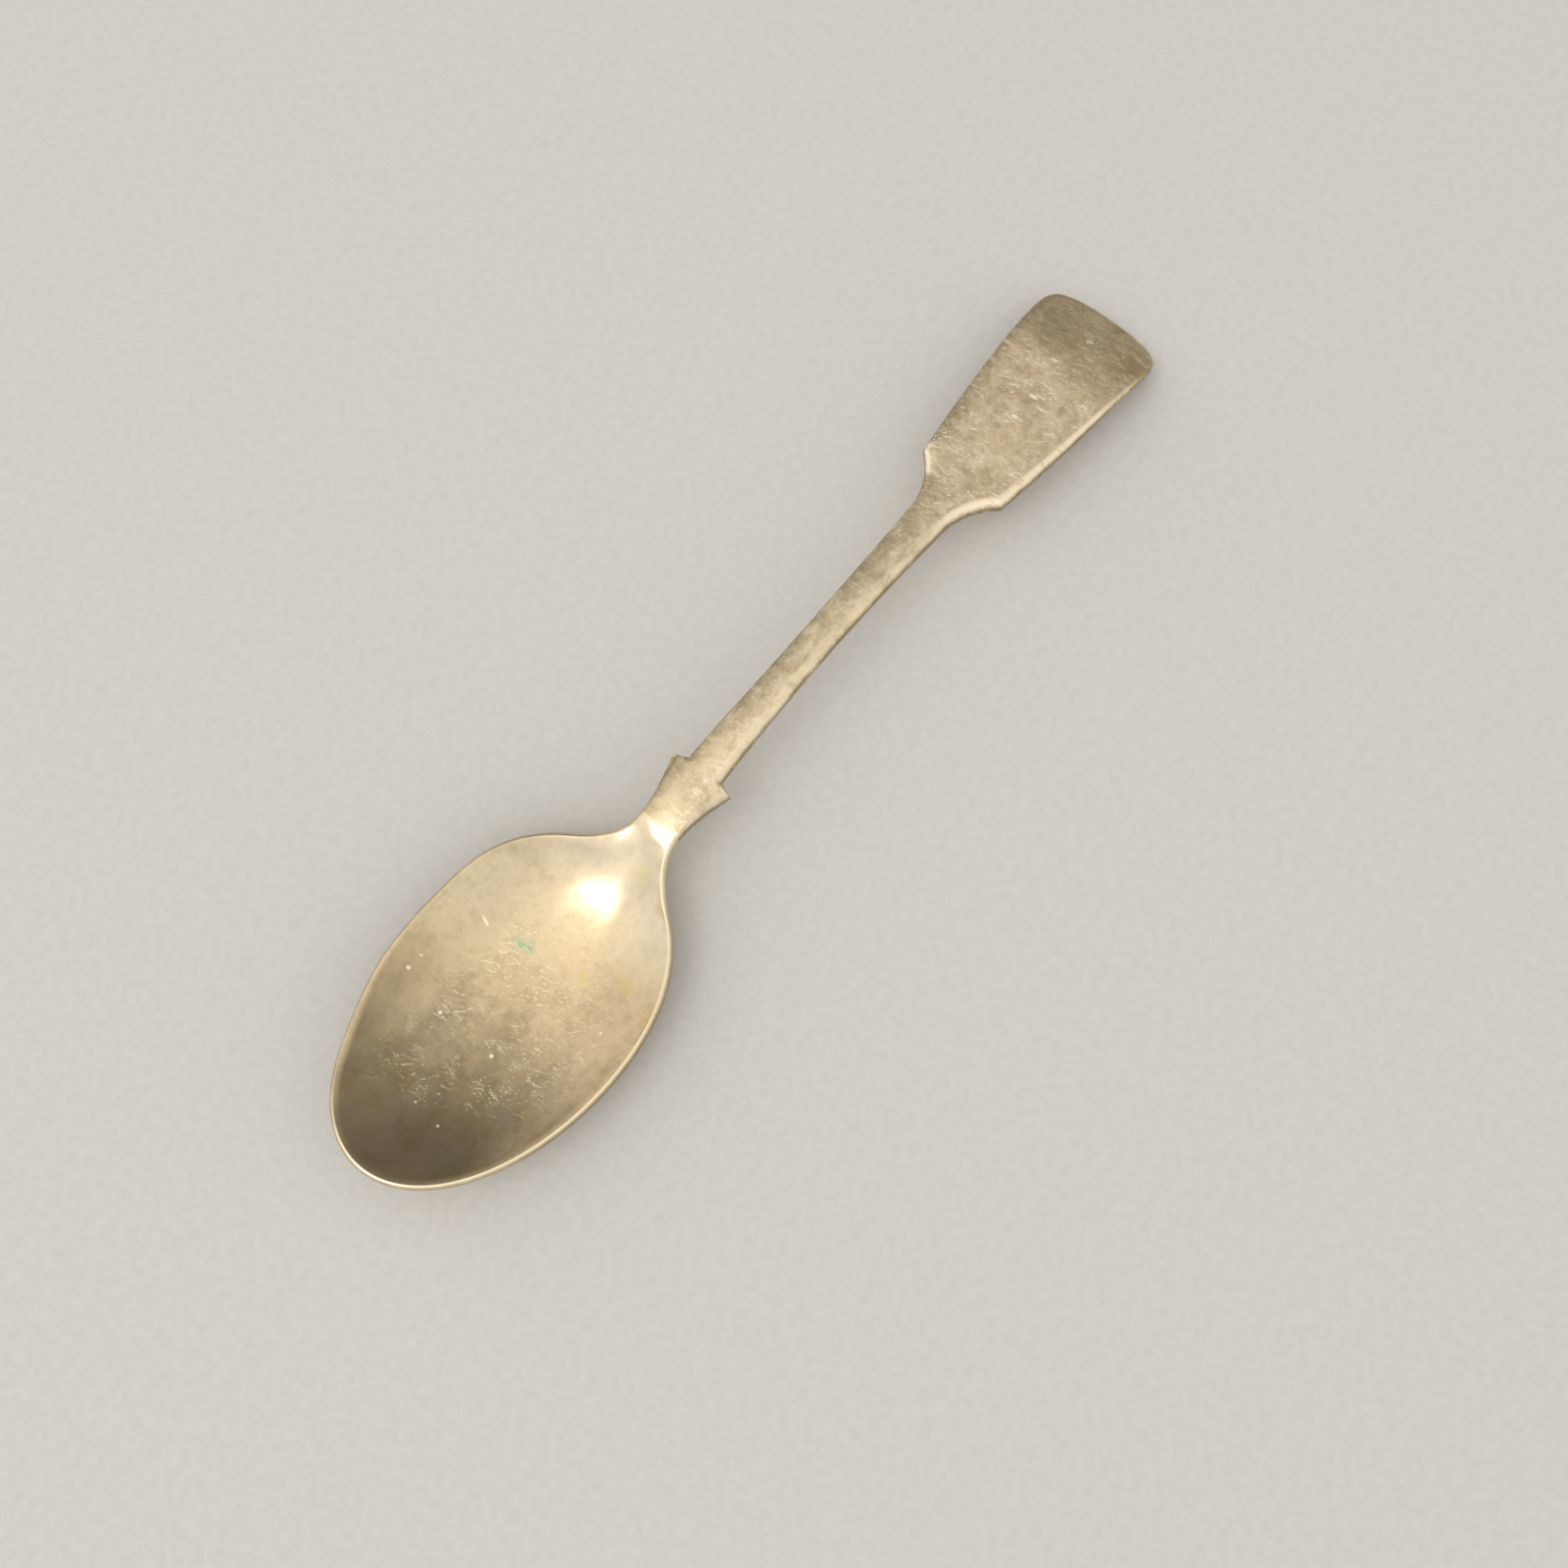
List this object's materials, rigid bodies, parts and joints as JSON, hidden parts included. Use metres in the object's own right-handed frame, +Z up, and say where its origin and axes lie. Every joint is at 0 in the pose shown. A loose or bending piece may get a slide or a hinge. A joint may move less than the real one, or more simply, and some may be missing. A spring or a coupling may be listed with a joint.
{
  "type": "souvenir spoon",
  "caption": "Small fiddle-pattern metal spoon with an egg-shaped bowl, finned neck, slim arched stem and a flared handle end that turns down.",
  "frame": {"origin": "under the middle of the spoon, on the surface it lies on", "axes": "+X along the spoon towards the handle end, +Z up out of the bowl, Y across it"},
  "size_m": [0.135, 0.0292, 0.0094],
  "materials": {
    "bowl_metal": "worn satin nickel silver, hazed by fine scratches, tarnished towards the tip",
    "handle_metal": "worn satin nickel silver with bright nicks and brown tarnish at the end"
  },
  "bodies": {
    "root": {"bowl": "bowl_metal", "heel_drop": "bowl_metal", "neck": "handle_metal", "stem": "handle_metal", "shoulders": "handle_metal", "fiddle": "handle_metal", "turned_end": "handle_metal"}
  },
  "joints": []
}
